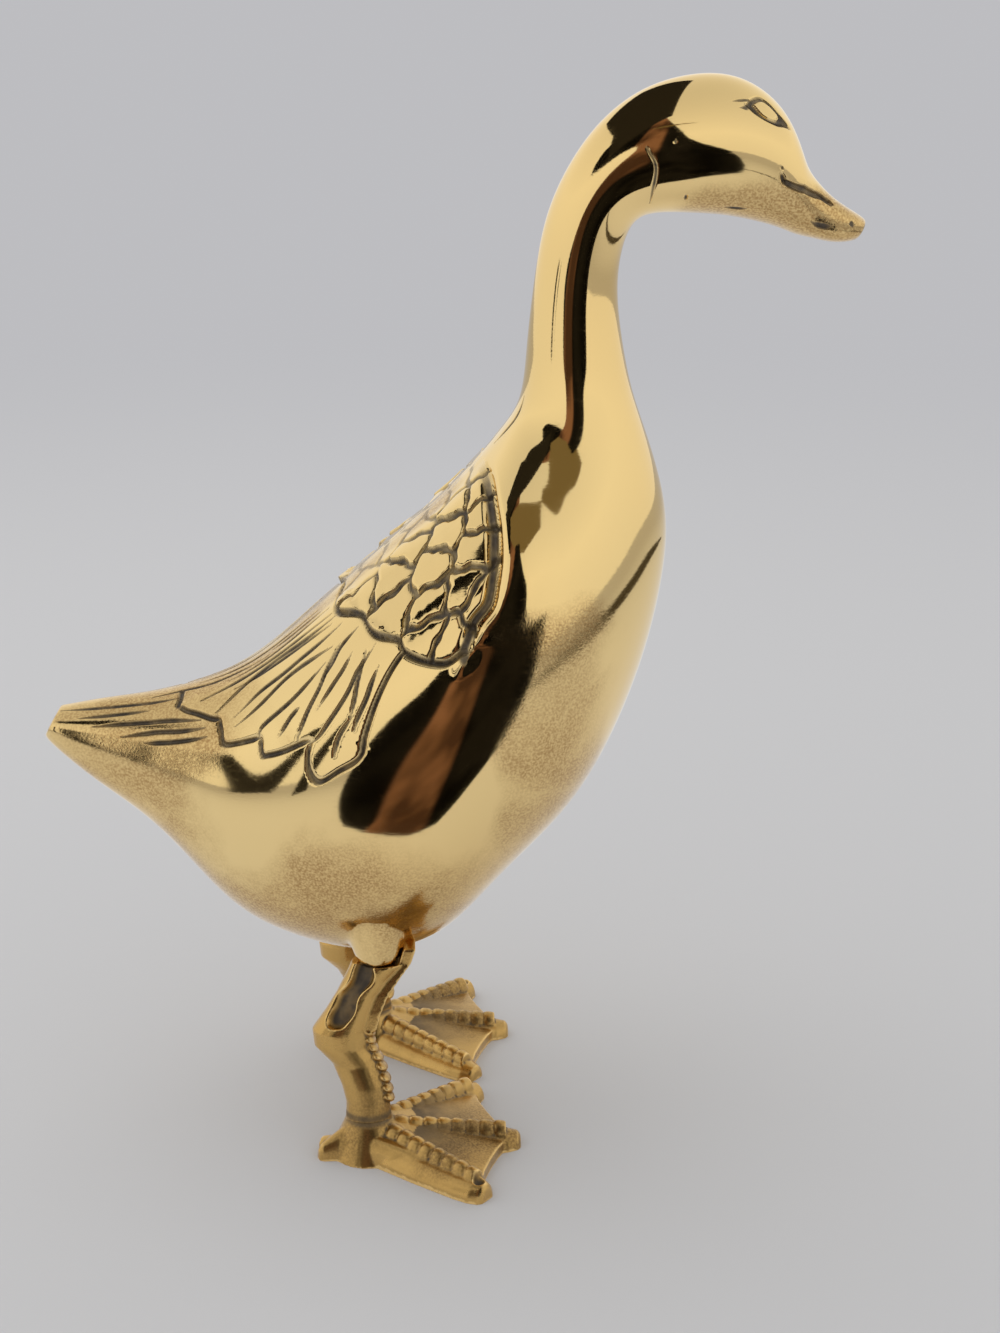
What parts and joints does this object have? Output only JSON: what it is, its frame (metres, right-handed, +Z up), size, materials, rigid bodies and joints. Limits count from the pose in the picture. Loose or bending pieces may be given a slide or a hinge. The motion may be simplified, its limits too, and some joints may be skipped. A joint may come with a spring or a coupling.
{
  "type": "brass duck figurine",
  "caption": "Hollow cast brass duck standing on two webbed feet, with a long neck, engraved wings and a flat sole under each foot, as an ornament for a shelf or table.",
  "frame": {"origin": "on the floor, under the middle of the bounding box", "axes": "+Z up, +X the way the bill points, +Y the duck's left"},
  "size_m": [0.191, 0.1084, 0.2503],
  "materials": {
    "polished_brass": "polished, with brown tarnish in the grooves",
    "cast_brass": "satin cast brass, dull in the webs",
    "braze": "dressed flush",
    "steel": "plain"
  },
  "bodies": {
    "root": {"body_left_half": "polished_brass", "body_right_half": "polished_brass", "neck_left_half": "polished_brass", "neck_right_half": "polished_brass", "left_leg": "cast_brass", "right_leg": "cast_brass", "left_foot": "cast_brass", "right_foot": "cast_brass", "left_leg_stud": "steel", "right_leg_stud": "steel", "left_leg_washer": "steel", "right_leg_washer": "steel", "left_leg_nut": "steel", "right_leg_nut": "steel", "body_seam_braze": "braze", "neck_seam_braze": "braze", "neck_joint_braze": "braze"}
  },
  "joints": []
}
